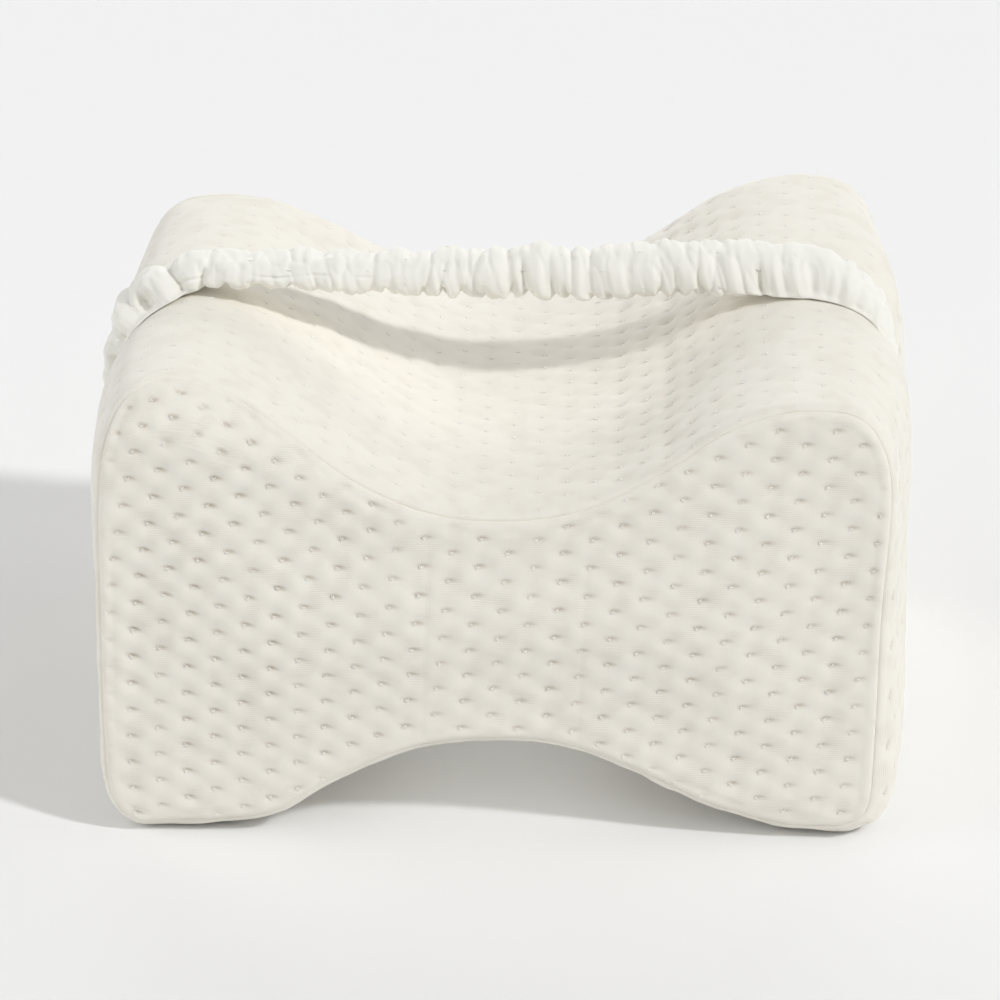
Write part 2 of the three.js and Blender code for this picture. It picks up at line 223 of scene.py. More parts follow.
def outline_at(u, y):
    """The outline at place u on the plane y, and the direction out of the pad there."""
    share = (y + FACE_Y) / (2 * FACE_Y)

    def place(v):
        height = (1 - share) * outline_value("front", v) + share * outline_value("back", v)
        rested = (height + np.hypot(height, REST_SOFT)) / 2
        return np.stack([outline_value("x", v) - CENTRE_X + 0 * share, rested], -1)

    along = place(u + OUTLINE_REACH) - place(u - OUTLINE_REACH)
    along /= np.linalg.norm(along, axis=-1, keepdims=True)
    return place(u), np.stack([along[..., 1], -along[..., 0]], -1)


def skin_point(u, y, inside):
    """A point of the pad's skin: its place on the outline, its depth, and how far it lies inside."""
    place, out = outline_at(u, y)
    swell = outline_value("swell", u) * (1 - (y / FACE_Y) ** 2)
    pull = PULL_BITE * outline_value("pull", u) * np.exp(-(((y - PULL_Y) / PULL_REACH) ** 2))
    place = place + out * (swell - pull - inside)[..., None]
    return np.stack([place[..., 0], y + 0 * place[..., 0], np.maximum(0, place[..., 1])], -1)


def edge_point(u, side, distance, drawn_in):
    """A point beside the seam of the front (side -1) or the back (side 1), distance towards the face."""
    soft = outline_value("soft" if side < 0 else "soft_back", u)
    turn = outline_value("roll", u) * math.pi / 2 + distance / soft
    on_arc = np.clip(turn, 0, math.pi / 2)
    beyond = (turn - on_arc) * soft
    radius = soft - drawn_in
    inside = soft - radius * np.cos(on_arc) + np.maximum(0, beyond)
    depth = FACE_Y - soft + radius * np.sin(on_arc) + np.minimum(0, beyond)
    return skin_point(u, side * depth, inside)


def rim_distance(u, side):
    """How wide the soft edge of a panel is, from its seam to its rim."""
    soft = outline_value("soft" if side < 0 else "soft_back", u)
    covered = outline_value("roll", u) * math.pi / 2
    return np.maximum(soft * (math.pi / 2 - covered), RIM_LEAST)


def band_width(u):
    """How wide the wrap band is, from seam to seam."""
    width = 2 * FACE_Y
    for column in ("soft", "soft_back"):
        soft = outline_value(column, u)
        width = width - soft + soft * outline_value("roll", u) * math.pi / 2
    return width


def seam_valley(distance):
    """How deep the cloth lies beside a seam: a narrow valley with a low ridge on either side."""
    away = np.abs(distance)
    ridge = np.exp(-(((away - SEAM["ridge_away"]) / SEAM["ridge_wide"]) ** 2))
    return SEAM["deep"] * np.exp(-away / SEAM["wide"]) - SEAM["ridge"] * ridge


def arc_places(start, end, step):
    """Places on the outline from row start to row end at equal steps, and their distances along it."""
    fine = np.linspace(start, end, 4000)
    line = skin_point(fine, 0 * fine, 0 * fine)
    length = np.concatenate([[0], np.cumsum(np.linalg.norm(np.diff(line, axis=0), axis=1))])
    even = np.linspace(0, length[-1], int(length[-1] / step) + 1)
    return np.interp(even, length, fine), even


def pinches(a, b, seed):
    """How deep the stars pinch the cloth at lattice places a, b: a wide hollow and a narrow slot.

    Stars lie at whole numbers of a, at whole numbers of b in even columns and half-way between in odd ones.
    """
    wide = 0
    slot = 0
    for beside, beyond in ((i, j) for i in (-1, 0, 1) for j in (-1, 0, 1)):
        column = np.round(a) + beside
        half = 0.5 * np.mod(column, 2)
        row = np.round(b - half) + half + beyond
        depth = 1 + 0.25 * np.sin(column * 12.9 + row * 78.2 + seed) * np.cos(column * 4.1 - row * 9.7)
        side = (a - column) * STAR_ACROSS
        above = (b - row) * STAR_UP
        wide = wide + depth * np.exp(-((side / PINCH_WIDE[0]) ** 2) - (above / PINCH_WIDE[1]) ** 2)
        slot = slot + depth * np.exp(-((side / PINCH_SLOT[0]) ** 2) - (above / PINCH_SLOT[1]) ** 2)
    return wide, slot


def face_lattice(x, z):
    """Lattice places on a face. The columns lean a little, and the rows climb towards the left lobe."""
    above = z - FACE_STARS["middle"]
    left_of = FACE_STARS["left"] - x
    lean = FACE_STARS["lean"] * above + ease(left_of / 40) * FACE_STARS["bend"] * above**2
    climb = FACE_STARS["climb"] * np.maximum(0, left_of) * ease((left_of + 10) / 30)
    a = (x - lean) / STAR_ACROSS + STRAY * drift(x, z, 90, 3)
    b = (z - climb) / STAR_UP + FACE_STARS["phase"] + STRAY * drift(x, z, 80, 4)
    return np.stack([a, b], 1)


def add_piece(name, mesh):
    """Adds a piece of the pillow to the scene and hangs it on the pillow's root."""
    piece = bpy.data.objects.new(name, mesh)
    bpy.context.collection.objects.link(piece)
    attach(piece, "root")
    return piece


def normals_of(mesh):
    """The direction out of a mesh at each of its points."""
    normals = np.empty(len(mesh.vertices) * 3, dtype=np.float32)
    mesh.vertices.foreach_get("normal", normals)
    return normals.reshape(-1, 3)


def lay_cloth(mesh, cloth):
    """Keeps where each point of a mesh lies on its cloth, in metres, as its UV map."""
    corner = np.empty(len(mesh.loops), dtype=np.int32)
    mesh.loops.foreach_get("vertex_index", corner)
    mesh.uv_layers.new(name="cloth").data.foreach_set("uv", (cloth * MM)[corner].ravel())


def quads_between(first, second, closed=False):
    """Quads between two lines of point numbers, each as long as the other."""
    if closed:
        first = np.append(first, first[0])
        second = np.append(second, second[0])
    return np.stack([first[:-1], second[:-1], second[1:], first[1:]], 1)


def grid_quads(numbers):
    """Quads over a grid of point numbers."""
    corners = [numbers[:-1, :-1], numbers[:-1, 1:], numbers[1:, 1:], numbers[1:, :-1]]
    return np.stack([c.ravel() for c in corners], 1)


def quilted(cloth, lattice, seam_away, strength, creases, seed):
    """How far the quilting moves the cloth at each point, in millimetres, and how much painted shade its
    pinches get there.

    cloth: places on the cloth in millimetres. lattice: the same in stars. seam_away: how far a seam is.
    strength: how deep the stars pinch there. creases: the upright creases, if the piece has any.
    """
    x, z = cloth.T
    wide, slot = pinches(*lattice.T, seed)
    free = ease((seam_away - SEAM_HOLDS[0]) / SEAM_HOLDS[1])
    waves = sum(depth * drift(x, z, length, seed + i) for i, (depth, length) in enumerate(SLACK_WAVES))
    move = free * (waves - strength * (HOLLOW_DEEP * wide + SLOT_DEEP * slot))
    for middle, depth in creases:
        crease = np.exp(-(((x - middle - CREASE_LEAN * (z - 60)) / CREASE_HALF) ** 2))
        move = move - free * depth * crease * ease(z / 30) * ease((120 - z) / 30)
    # The second value is the painted shade for the pinches, deepest in their narrow slots
    return move, free * np.clip(strength * slot, 0, 1)


def sew_stars(name, slot, size, points, normals, lattice, seam_away, strength):
    """The threads of the stars on one piece of cloth: three short crossing stitches in each pinch.

    size: how far the stars lie apart. lattice: places in stars. strength: how deep the stars pinch there.
    """
    size = np.array(size)
    tree = KDTree(len(points))
    for number, (a, b) in enumerate(lattice * size):
        tree.insert((a, b, 0), number)
    tree.balance()

    def on_cloth(place):
        near = tree.find_n((place[0], place[1], 0), 4)
        weights = np.array([1 / (distance + 0.05) for _, _, distance in near])[:, None]
        numbers = [number for _, number, _ in near]
        weights /= weights.sum()
        return (points[numbers] * weights).sum(0), (normals[numbers] * weights).sum(0)

    random = np.random.default_rng(7)
    corners, faces = [], []
    low, high = np.floor(lattice.min(0)), np.ceil(lattice.max(0))
    for column in np.arange(low[0], high[0] + 1):
        for row in np.arange(low[1], high[1] + 1) + 0.5 * (column % 2):
            star = np.array([column, row]) * size
            _, number, distance = tree.find((star[0], star[1], 0))
            if distance > 1 or seam_away[number] < STAR_CLEAR:
                continue
            rise = THREAD_THICK * (THREAD_RISE[0] + THREAD_RISE[1] * strength[number])
            _, out = on_cloth(star)
            for thread in STAR_THREADS:
                x0, y0, x1, y1 = np.array(thread) + random.normal(0, THREAD_STRAY, 4)
                start, _ = on_cloth(star + (x0, y0))
                end, _ = on_cloth(star + (x1, y1))
                sew_thread(start, end, out, rise, corners, faces)
    mesh = bpy.data.meshes.new(name)
    mesh.from_pydata([corner * MM for corner in corners], [], faces)
    mesh.shade_smooth()
    mesh.materials.append(bpy.data.materials.get("polyester_thread") or polyester_thread())
    add_piece(name, mesh)


def sew_thread(start, end, out, rise, corners, faces):
    """One stitch: a thread that comes up out of the cloth, lies on it and goes down again."""
    ahead = (end - start) / np.linalg.norm(end - start)
    side = np.cross(ahead, out)
    up = np.cross(side, ahead)
    first = len(corners)
    corners.append(start - up * THREAD_THICK)
    for share in (0.22, 0.78):
        middle = start + (end - start) * share + up * rise
        for turn in range(4):
            angle = math.pi * (turn + 0.5) / 2
            corners.append(middle + (side * math.cos(angle) + up * math.sin(angle)) * THREAD_THICK / 2)
    corners.append(end - up * THREAD_THICK)
    last = first + 9
    for turn in range(4):
        a, b = first + 1 + turn, first + 1 + (turn + 1) % 4
        faces += [(first, b, a), (a, b, b + 4, a + 4), (last, a + 4, b + 4)]


def cover_piece(name, points, faces, hidden, quilting, material):
    """A closed piece of the quilted cover, whose first points are the ones that show.

    hidden: the faces that close it behind, which don't show. quilting: what quilted takes.
    """
    mesh = bpy.data.meshes.new(name)
    mesh.from_pydata(points * MM, [], faces + hidden)
    move, pinch_shade = quilted(**quilting)
    count = len(move)
    normals = normals_of(mesh)[:count]
    points = points.copy()
    points[:count] += normals * move[:, None]
    points[:, 2] = np.maximum(points[:, 2], 0)
    mesh.vertices.foreach_set("co", (points * MM).ravel())
    behind = len(points) - count
    lay_cloth(mesh, np.pad(quilting["cloth"], ((0, behind), (0, 0))))
    # Painted shade for the pinches, which the knit's colour reads
    mesh.attributes.new("pinch_shade", "FLOAT", "POINT").data.foreach_set("value", np.pad(pinch_shade, (0, behind)))
    flat = np.arange(len(mesh.polygons)) >= len(faces)
    mesh.attributes.new("sharp_face", "BOOLEAN", "FACE").data.foreach_set("value", flat)
    mesh.materials.append(material)
    mesh.update()
    piece = add_piece(name, mesh)
    sewn = (points[:count], normals, quilting["lattice"], quilting["seam_away"], quilting["strength"])
    sew_stars(name + "_stars", "quilted_knit", (STAR_ACROSS, STAR_UP), *sewn)
    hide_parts("pillow_pad")


def inside_ring(places, ring):
    """Which places lie inside a closed ring of points."""
    x, z = places.T
    count = np.zeros(len(places), dtype=int)
    for (x0, z0), (x1, z1) in zip(ring, np.roll(ring, -1, axis=0)):
        if z0 != z1:
            crossed = (z0 > z) != (z1 > z)
            count += crossed & (x < (x1 - x0) * (z - z0) / (z1 - z0) + x0)
    return count % 2 == 1


def soft_distance(places, ring):
    """The distance from each place to the ring, smoothed so that it has no ridges."""
    total = np.zeros(len(places))
    spacing = np.linalg.norm(ring[1] - ring[0])
    for point in ring:
        total += np.exp(-np.linalg.norm(places - point, axis=1) / CROWN_BLUR)
    share = total * spacing / (2 * CROWN_BLUR)
    return np.maximum(0, -CROWN_BLUR * np.log(np.maximum(1e-12, share)))


def plateau_places(ring, steps):
    """An even grid of places inside a panel's rim, and how far each lies from it."""
    xs = np.arange(ring[:, 0].min(), ring[:, 0].max(), steps["across"])
    zs = np.arange(ring[:, 1].min(), ring[:, 1].max(), steps["up"])
    places = np.stack([m.ravel() for m in np.meshgrid(xs, zs)], 1)
    places = places[inside_ring(places, ring)]
    tree = KDTree(len(ring))
    for i, (x, z) in enumerate(ring):
        tree.insert((x, z, 0), i)
    tree.balance()
    near = np.array([tree.find((x, z, 0))[2] for x, z in places])
    clear = near > 0.6 * steps["up"]
    return places[clear], near[clear]


def face_panel(name, side, steps, material):
    """The front (side -1) or the back panel (side 1): a crowned face with a soft edge down to its seam."""
    u = arc_places(0, ROWS, steps["rim"])[0][:-1]
    rings = steps["rings"]
    shares = np.linspace(0, 1, rings) ** 0.8
    rim = rim_distance(u, side)
    away = rim * (1 - shares[:, None])
    edge = edge_point(np.tile(u, (rings, 1)), side, away, seam_valley(away))
    ring = edge[0][:, [0, 2]]
    out = outline_at(u, side * FACE_Y + 0 * u)[1]
    edge_cloth = ring + out * (rim - away)[..., None]

    places, near = plateau_places(ring, steps)
    crown = CROWN_HIGH * ease(soft_distance(places, ring[::3]) / CROWN_REACH)
    plateau = np.stack([places[:, 0], side * (FACE_Y + crown), places[:, 1]], 1)

    flat = np.concatenate([ring, places])
    _, _, triangles, originals, _, _ = delaunay_2d_cdt(flat.tolist(), [], [list(range(len(ring)))], 1, 1e-6)
    first_of = np.array([o[0] for o in originals])
    triangles = first_of[np.array(triangles)]

    around = len(u)
    inner = edge_point(u, side, 0 * u, INNER + 0 * u)
    points = np.concatenate([edge[0], plateau, edge[1:].reshape(-1, 3), inner])
    shown = around * rings + len(plateau)
    edge_rows = around + len(plateau) + np.arange(around * (rings - 1)).reshape(rings - 1, -1)
    rows = np.concatenate([[np.arange(around)], edge_rows])
    strip = np.concatenate([quads_between(rows[k], rows[k + 1], closed=True) for k in range(rings - 1)])
    inner_row = shown + np.arange(around)
    closing = quads_between(rows[-1], inner_row, closed=True)
    lid = inner_row[::-1]
    if side > 0:
        triangles, strip, closing = (faces[:, ::-1] for faces in (triangles, strip, closing))
        lid = lid[::-1]
    cloth = np.concatenate([ring, places, edge_cloth[1:].reshape(-1, 2)])
    cloth = cloth * [-side, 1]
    x, z = cloth.T
    # The stars pinch deepest at the upper left
    strength = 0.9 + 0.3 * ease((-35 - x) / 50) * ease((z - 20) / 60)
    quilting = {
        "cloth": cloth,
        "lattice": face_lattice(x, z),
        "seam_away": np.concatenate([rim, near + RIM_LEAST, away[1:].ravel()]),
        "strength": strength,
        "creases": CREASES,
        "seed": 11 + side,
    }
    faces = triangles.tolist() + strip.tolist()
    cover_piece(name, points, faces, closing.tolist() + [lid.tolist()], quilting, material)


def band_strip(name, start, end, steps, material):
    """A length of the wrap band, from seam to seam, between two rows of the outline."""
    u, along = arc_places(start, end, steps["along"])
    width = band_width(u)[:, None]
    beside = np.cumsum([0, *np.linspace(BAND_EDGE[0], steps["across"], BAND_EDGE[1])])
    middle = np.linspace(0, 1, int((BAND_WIDE - 2 * beside[-1]) / steps["across"]))[1:-1]
    from_front = np.concatenate(
        [0 * width + beside, beside[-1] + (width - 2 * beside[-1]) * middle, width - beside[::-1]], axis=1
    )
    place = np.repeat(u[:, None], from_front.shape[1], axis=1)
    from_back = width - from_front
    front = edge_point(place, -1, -from_front, seam_valley(from_front))
    back = edge_point(place, 1, -from_back, seam_valley(from_back))
    skin = np.where((from_front < width / 2)[..., None], front, back)
    numbers = np.arange(skin.shape[0] * skin.shape[1]).reshape(skin.shape[:2])
    shown = numbers.size
    inner_front = shown + np.arange(len(u))
    inner_back = inner_front + len(u)
    inner = [edge_point(u, side, 0 * u, INNER + 0 * u) for side in (-1, 1)]
    points = np.concatenate([skin.reshape(-1, 3), *inner])
    lines = (numbers[:, 0], inner_front, inner_back, numbers[:, -1])
    hidden = np.concatenate([quads_between(b, a) for a, b in zip(lines, lines[1:])]).tolist()
    hidden.append([*numbers[0, ::-1].tolist(), int(inner_front[0]), int(inner_back[0])])
    hidden.append([*numbers[-1].tolist(), int(inner_back[-1]), int(inner_front[-1])])
    across = from_front - width / 2
    cloth = np.stack([np.broadcast_to(along[:, None], across.shape).ravel(), across.ravel()], 1)
    a = cloth[:, 0] / STAR_ACROSS + STRAY * drift(*cloth.T, 90, 5)
    b = cloth[:, 1] / STAR_UP + STRAY * drift(*cloth.T, 80, 6)
    end_away = np.minimum(along, along[-1] - along)[:, None]
    # Tight over the humps, where the stars hardly show, and slack on the right slope of the channel
    x, _, z = skin.reshape(-1, 3).T
    wall = ease((np.abs(x) - 104) / 12) * ease((140 - z) / 25)
    strength = 0.17 + 0.58 * np.exp(-(((x - 50) / 24) ** 2)) + 0.5 * np.maximum(wall, ease((80 - z) / 40))
    quilting = {
        "cloth": cloth,
        "lattice": np.stack([a, b], 1),
        "seam_away": np.minimum(np.minimum(from_front, from_back), end_away).ravel(),
        "strength": np.minimum(1, strength),
        "creases": (),
        "seed": 21,
    }
    cover_piece(name, points, grid_quads(numbers).tolist(), hidden, quilting, material)


def strap_value(column, along):
    """A column of the strap's table at a share of its length."""
    rows = STRAP[:, 0]
    values = STRAP[:, STRAP_COLUMNS.index(column)]
    last = len(rows) - 1
    row = np.clip(np.searchsorted(rows, along, side="right") - 1, 0, last - 1)
    near = [values[np.clip(row + i, 0, last)] for i in (-1, 0, 1, 2)]
    return smooth_between(*near, (along - rows[row]) / (rows[row + 1] - rows[row]))


def carried(u, y, lift):
    """The pad's skin under the strap, raised by the strap's slack."""
    point = skin_point(u, y, 0 * u)
    point[..., [0, 2]] += outline_at(u, y)[1] * (lift - STRAP_SEATED)[..., None]
    return point


def underside_point(share, y, lift):
    """The strap's underside: a third of share on the left hump, a third free, a third on the right hump."""
    part = np.clip(np.floor(share * 3), 0, 2)
    t = share * 3 - part
    left = carried(STRAP_LEFT["end"] + (STRAP_LEFT["lift"] - STRAP_LEFT["end"]) * t, y, lift)
    right = carried(STRAP_RIGHT["lift"] + (STRAP_RIGHT["end"] - STRAP_RIGHT["lift"]) * t, y, lift)
    leaves = carried(STRAP_LEFT["lift"] + 0 * t, y, lift)
    meets = carried(STRAP_RIGHT["lift"] + 0 * t, y, lift)
    free = leaves + (meets - leaves) * t[..., None]
    free[..., 2] -= STRAP_SAG * 4 * t * (1 - t)
    part = part[..., None]
    return np.where(part == 0, left, np.where(part == 2, right, free))


# The strap's gathers: where each lies at the lower and at the upper edge that the front shows, in
# millimetres along the strap, the shares of that face between which it reaches, its depth and its half
# width. The last eight crumple the left end.
GATHERS = (
    (42.8, 43, 0.1, 0.65, 4.6, 2.2),
    (47.5, 45, 0, 0.6, 2.2, 1.4),
    (54, 50, 0, 1, 3.4, 1.8),
    (60.5, 60, 0, 0.7, 2.6, 1.5),
    (67.3, 66, 0, 0.3, 1.6, 1.3),
    (73.4, 73.4, 0.35, 1, 0.8, 2),
    (77.5, 77, 0, 0.3, 1.8, 1.6),
    (86.1, 86.1, 0.35, 1, 1, 2),
    (88.4, 88, 0, 0.3, 1.4, 1.4),
    (98.3, 98.3, 0.35, 1, 0.9, 2),
    (104.3, 105, 0, 1, 0.8, 1.6),
    (113.2, 113.5, 0, 1, 1.2, 1.6),
    (118, 118, 0, 0.4, 1, 1.2),
    (125.1, 125.1, 0.3, 1, 1, 1.5),
    (129.2, 131.7, 0, 1, 1.3, 1.3),
    (136.2, 138.8, 0, 1, 1.2, 1.3),
    (141.6, 143.5, 0, 1, 1.2, 1.3),
    (149.6, 149.6, 0, 1, 1.5, 1.3),
    (157.6, 156, 0, 1, 1.4, 1.5),
    (163.3, 161.7, 0, 1, 1.8, 1.5),
    (172.3, 171, 0, 0.5, 1.2, 1.2),
    (177, 177, 0, 1, 1.8, 1.4),
    (184.7, 183.4, 0, 1, 2, 1.6),
    (197.8, 195.2, 0, 1, 1.2, 1.5),
    (204.8, 205.4, 0, 1, 1.5, 1.4),
    (210.2, 210.2, 0, 0.5, 1.2, 1.2),
    (215, 218, 0, 1, 1.8, 1.4),
    (220.1, 224, 0, 1, 1.5, 1.4),
    (233.5, 227.8, 0, 1, 1.3, 1.6),
    (237.3, 238.5, 0, 0.6, 2, 1.5),
    (248.2, 245.6, 0, 1, 1.4, 1.4),
    (252.6, 252, 0, 1, 2, 1.5),
    (257.7, 256.5, 0, 1, 1.2, 1.2),
    (261.9, 260.9, 0, 1, 1.2, 1.1),
    (266.9, 265, 0, 1, 1.2, 1.2),
    (272, 271, 0, 1, 0.9, 1.2),
    (279, 277, 0, 1, 0.7, 1.4),
    (32, 30, 0.1, 0.75, 3.4, 1.5),
    (24.5, 25, 0, 0.5, 3, 1.4),
    (16, 18.5, 0, 1, 1.6, 1.4),
    (37.5, 39, 0.4, 1, 2.2, 1.3),
    (28, 27, 0.5, 1, 1.6, 1.2),
    (51, 47.5, 0.45, 1, 1.6, 1.2),
    (57, 55, 0.2, 0.8, 1.2, 1.1),
    (63.5, 62, 0.3, 1, 1.2, 1.1),
)
GATHER_END = 0.2  # how softly a gather ends, as a share of the face
# Small notches of the strap's lower edge, in millimetres along it
NOTCHES = (
    66.5, 76.5, 87.5, 104, 118, 129.5, 136, 141.5, 149.5, 157.5, 163, 172, 177, 184.5, 190.5, 197.5, 205,
    210.5, 215, 220, 226.5, 233.5, 237.5, 243, 248, 252.5, 257.5, 262, 267,
)
NOTCH_LOW = -0.25
CREASE_NETS = ((12, 51, 0.55), (8, 52, 0.35))  # finer creases: their size, seed and depth
# A stitched line along the strap's left part, which wavers and comes and goes
LINE = {"start": 50, "end": 127, "low": 0.52, "rise": -0.06, "waver": 0.03, "depth": 0.75, "half": 0.026}
STRAP_SEEN = math.radians(245)  # the strap's lower edge as the front shows it, round from its back edge


def reaching(seen, low, high):
    """1 between two shares of the strap's face and 0 beyond them, with soft ends."""
    return ease((seen - low) / GATHER_END + 0.5) * ease((high - seen) / GATHER_END + 0.5)


def stitched_line(length, seen):
    """How deep the stitched line draws the strap in."""
    share = (length - LINE["start"]) / (LINE["end"] - LINE["start"])
    line = LINE["low"] + LINE["rise"] * share + LINE["waver"] * drift(length, 0 * length, 24, 61)
    held = ease((length - LINE["start"]) / 6) * ease((LINE["end"] - length) / 12)
    held = held * ease(0.6 + 0.9 * drift(length, 0 * length, 15, 62))
    return LINE["depth"] * held * np.exp(-(((seen - line) / LINE["half"]) ** 2))


def gathered(length, angle):
    """How deep the gathers draw the strap in, by place along it and angle round it from its back edge."""
    drawn = 0
    seen = (STRAP_SEEN - angle) / math.pi
    hidden = (2 * math.pi - STRAP_SEEN) / math.pi
    edge = np.where(seen < 0, -seen / hidden, np.minimum(seen, 1))
    random = np.random.default_rng(31)
    for front, back, low, high, depth, half in GATHERS:
        bend = random.normal(0, 1.4)
        short = random.uniform()
        depth = depth * random.uniform(0.7, 1.2)
        # One that reaches an edge of the face runs on round the strap, unless it is a short one
        low = 1.3 * (short < 0.2) - 1.2 if low == 0 else low
        high = 2 - 1.25 * (short > 0.6) if high == 1 else high
        centre = front + (back - front) * edge + bend * np.sin(math.pi * edge)
        away = np.sqrt(((length - centre) / half) ** 2 + 0.02) - 0.14
        drawn = drawn + depth * reaching(seen, low, high) * np.exp(-away)
    for centre in NOTCHES:
        lean = random.normal(0, 4)
        depth = random.uniform(1.0, 2.1)
        top = random.uniform(0.12, 0.4)
        away = length - centre - lean * seen
        drawn = drawn + depth * reaching(seen, NOTCH_LOW, top) * np.exp(-(away**2))
    for size, seed, depth in CREASE_NETS:
        net = drift(length + 2 * np.sin(angle), 5 * np.cos(angle), size, seed)
        drawn = drawn + depth * np.exp(-((net / 0.4) ** 2))
    return drawn + stitched_line(length, seen)


def strap_points(settings):
    """The strap: a plump tube over both humps, drawn in at its gathers.

    Returns its rings of points, how far along it each lies, and each point's share of the face that shows.
    """
    fine = np.linspace(0, 1, 1201)
    way = underside_point(fine, PULL_Y + 0 * fine, 0 * fine)
    travelled = np.concatenate([[0], np.cumsum(np.linalg.norm(np.diff(way, axis=0), axis=1))])
    total = travelled[-1]
    along = np.linspace(0, 1, STRAP_RINGS)
    share = np.interp(along * total, travelled, fine)
    middle = strap_value("middle", along)
    lift = strap_value("lift", along)
    before, after = (
        underside_point(np.clip(share + step, 0, 1), middle, lift) for step in (-0.003, 0.003)
    )
    ahead = (after - before) / np.linalg.norm(after - before, axis=1, keepdims=True)
    up = np.stack([-ahead[:, 2], 0 * along, ahead[:, 0]], 1)
    angle = np.linspace(0, 2 * math.pi, STRAP_ROUND, endpoint=False)
    across = np.sign(np.cos(angle)) * np.abs(np.cos(angle)) ** STRAP_SQUARE
    rise = np.sin(angle)
    seen = (STRAP_SEEN - angle) / math.pi
    length = along[:, None] * total
    thick = strap_value("thick", along)[:, None]
    half = strap_value("width", along)[:, None] / 2
    # Where it lies on the pad its lower half is pressed flat
    free = ease(lift / STRAP_FREE)[:, None]
    belly = STRAP_WIDEST[0] + (STRAP_WIDEST[1] - STRAP_WIDEST[0]) * free
    height = np.where(rise < 0, belly * (1 + rise), belly + (1 - belly) * rise)
    slim = np.clip(thick / STRAP_PLUMP, 0, 1)
    puffs = sum(
        depth * drift(length + lean * rise, reach * across, size, seed)
        for depth, lean, reach, size, seed in PUFFS
    )
    drawn = slim * (settings.gather_depth * gathered(length, angle[None, :]) - puffs)
    drawn = drawn * (free + (1 - free) * ease((height - 0.02) / 0.2))
    beside = half * across
    above = thick * (height - belly)
    radius = np.hypot(beside, above)
    kept = np.clip(1 - drawn / np.maximum(radius, 1), 0.3, 1.25)
    y = middle[:, None] + beside * kept
    lift = np.broadcast_to(lift[:, None], y.shape)
    under = underside_point(np.broadcast_to(share[:, None], y.shape), y, lift)
    raised = np.maximum(0, thick * belly + above * kept)
    return under + up[:, None, :] * raised[..., None], length, seen


def strap_piece(settings, material):
    """The leg strap: a gathered knit casing over an elastic, sewn to both side walls."""
    rings, length, seen = strap_points(settings)
    shape = rings.shape[:2]
    numbers = np.arange(shape[0] * shape[1]).reshape(shape)
    looped = np.concatenate([numbers, numbers[:, :1]], axis=1)
    faces = grid_quads(looped).tolist()
    faces += [numbers[0, ::-1].tolist(), numbers[-1].tolist()]
    mesh = bpy.data.meshes.new("leg_strap_casing")
    mesh.from_pydata(rings.reshape(-1, 3) * MM, [], faces)
    chords = np.linalg.norm(np.diff(rings, axis=1, append=rings[:, :1]), axis=2)
    length = np.broadcast_to(length, shape)
    lay_cloth(mesh, np.stack([length, np.cumsum(chords, axis=1)], -1).reshape(-1, 2))
    mesh.shade_smooth()
    mesh.materials.append(material)
    mesh.update()
    girth = np.broadcast_to(STRAP_FACE * seen, shape).ravel()
    lattice = np.stack([length.ravel(), girth], 1) / STRAP_STARS
    within = np.minimum(girth, STRAP_FACE + 10 - girth)
    sewn = (rings.reshape(-1, 3), normals_of(mesh), lattice, within, np.ones(len(girth)))
    sew_stars("leg_strap_stars", "gathered_knit", STRAP_STARS, *sewn)
    piece = add_piece("leg_strap_casing", mesh)
    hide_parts("leg_strap")


def linear(hex_colour):
    """An sRGB hex colour as linear red, green, blue and alpha."""
    parts = [int(hex_colour[i : i + 2], 16) / 255 for i in (0, 2, 4)]
    return tuple(p / 12.92 if p <= 0.04045 else ((p + 0.055) / 1.055) ** 2.4 for p in parts) + (1.0,)


def add_node(tree, kind, values=None, links=None, **settings):
    """Adds a node with its settings, the values of its sockets and its links from other sockets."""
    node = tree.nodes.new(kind)
    for name, value in settings.items():
        setattr(node, name, value)
    for socket, value in (values or {}).items():
        node.inputs[socket].default_value = value
    for socket, source in (links or {}).items():
        tree.links.new(source, node.inputs[socket])
    return node


def start_material(name, finish):
    """A new material, its node tree and its shader, whose sockets take the values of finish."""
    material = bpy.data.materials.new(name)
    material.use_nodes = True
    shader = material.node_tree.nodes["Principled BSDF"]
    for socket, value in finish.items():
        shader.inputs[socket].default_value = value
    return material, material.node_tree, shader


def two_shades(tree, shader, settings, cloth, scale):
    """Gives a shader the face colour with soft patches of its deeper shade. Returns the mix."""
    patches = add_node(
        tree, "ShaderNodeTexNoise", {"Scale": scale, "Detail": 3.0, "Roughness": 0.6}, {"Vector": cloth}
    )
    shades = add_node(
        tree,
        "ShaderNodeMix",
        {6: linear(settings.face_hex), 7: linear(settings.shade_hex)},
        {"Factor": patches.outputs["Fac"]},
        data_type="RGBA",
    )
    tree.links.new(shades.outputs[2], shader.inputs["Base Color"])
    return shades


